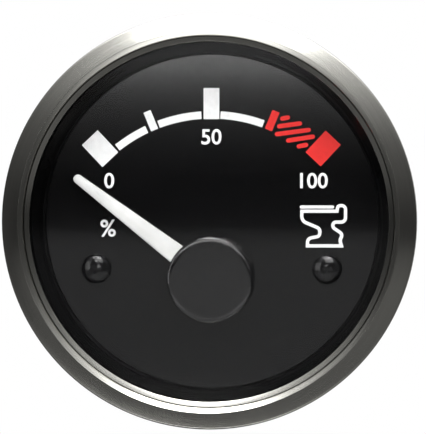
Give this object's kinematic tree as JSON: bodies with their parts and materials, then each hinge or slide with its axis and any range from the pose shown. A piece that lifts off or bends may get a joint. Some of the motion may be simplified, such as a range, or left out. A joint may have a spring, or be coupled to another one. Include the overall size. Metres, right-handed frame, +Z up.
{
  "type": "waste tank level gauge",
  "caption": "Round panel gauge with a stainless bezel, black dial and white pointer that shows how full a waste tank is; rear clamp bracket on studs.",
  "frame": {"origin": "where the gauge axis meets the front face of the panel that the gauge is fixed in, which is also the back of the panel gasket", "axes": "+Y runs from the dial to the terminals, so the dial is read looking along +Y; +Z is up on the dial and +X is the reader's right"},
  "size_m": [0.062, 0.0587, 0.062],
  "materials": {
    "bezel_stainless": "spun and polished stainless sheet",
    "lens_glass": "clear flat glass",
    "black_rubber": "matt black rubber",
    "case_black": "fine textured black moulding",
    "spacer_black": "satin black moulding",
    "dial_black": "matt black screen print with white and red marks",
    "screw_black": "black plated steel",
    "pointer_white": "satin white moulding",
    "cap_black": "satin black moulding",
    "light_box_white": "white reflector moulding",
    "nylon_natural": "natural nylon moulding",
    "brass": "turned brass",
    "zinc_steel": "zinc plated steel",
    "bracket_zinc": "zinc plated folded strip",
    "magnet_grey": "bonded ferrite",
    "copper_wire": "enamelled copper winding",
    "board_green": "green solder mask",
    "led_clear": "clear epoxy",
    "resistor_tan": "tan lacquer",
    "diode_black": "black epoxy",
    "capacitor_sleeve": "dark blue sleeve"
  },
  "bodies": {
    "gauge": {"bezel": "bezel_stainless", "lens": "lens_glass", "lens_seal": "black_rubber", "panel_gasket": "black_rubber", "case": "case_black", "spacer_ring": "spacer_black", "dial_plate": "dial_black", "dial_screw_left": "screw_black", "dial_screw_right": "screw_black", "bobbin_front": "nylon_natural", "bobbin_rear": "nylon_natural", "cosine_coil_left": "copper_wire", "cosine_coil_right": "copper_wire", "sine_coil_lower": "copper_wire", "sine_coil_upper": "copper_wire", "front_bush": "brass", "thrust_cup": "brass", "return_magnet": "magnet_grey", "coil_pin_1": "brass", "coil_pin_2": "brass", "coil_pin_3": "brass", "coil_pin_4": "brass", "shield_can": "zinc_steel", "light_box": "light_box_white", "circuit_board": "board_green", "board_screw_left": "zinc_steel", "board_screw_right": "zinc_steel", "led_left": "led_clear", "led_right": "led_clear", "resistor": "resistor_tan", "diode": "diode_black", "capacitor": "capacitor_sleeve", "terminal_stud_signal": "brass", "terminal_stud_ground": "brass", "terminal_stud_supply": "brass", "terminal_washer_signal": "zinc_steel", "terminal_washer_ground": "zinc_steel", "terminal_washer_supply": "zinc_steel", "terminal_nut_signal": "brass", "terminal_nut_ground": "brass", "terminal_nut_supply": "brass", "mount_stud_left": "zinc_steel", "mount_stud_right": "zinc_steel"},
    "pointer": {"pointer_blade": "pointer_white", "pointer_hub_cap": "cap_black", "balance_weight": "brass", "spindle": "zinc_steel", "rotor_magnet": "magnet_grey", "stop_arm": "brass"},
    "clamp": {"mount_bracket": "bracket_zinc", "lock_washer_left": "zinc_steel", "lock_washer_right": "zinc_steel"},
    "left_nut": {"clamp_nut_left": "zinc_steel"},
    "right_nut": {"clamp_nut_right": "zinc_steel"}
  },
  "joints": [
    {"name": "pointer_sweep", "type": "hinge", "parent": "gauge", "child": "pointer", "pos_m": [0, 0, -0.0088], "axis": [0, 1, 0], "range_deg": [0, 105.8], "stiffness_Nm_per_rad": 0.00002, "springref_deg": -34.38},
    {"name": "bracket_slide", "type": "slide", "parent": "gauge", "child": "clamp", "axis": [0, 1, 0], "range_m": [-0.005, 0.005]},
    {"name": "nut_left_spin", "type": "hinge", "parent": "clamp", "child": "left_nut", "pos_m": [-0.017, 0.04, 0], "axis": [0, 1, 0], "range_deg": [-2572, 2572]},
    {"name": "nut_right_spin", "type": "hinge", "parent": "clamp", "child": "right_nut", "pos_m": [0.017, 0.04, 0], "axis": [0, 1, 0], "range_deg": [-2572, 2572]}
  ],
  "couplings": [
    {"joint": "nut_left_spin", "follows": "bracket_slide", "rad_per_m": 8976},
    {"joint": "nut_right_spin", "follows": "bracket_slide", "rad_per_m": 8976}
  ]
}
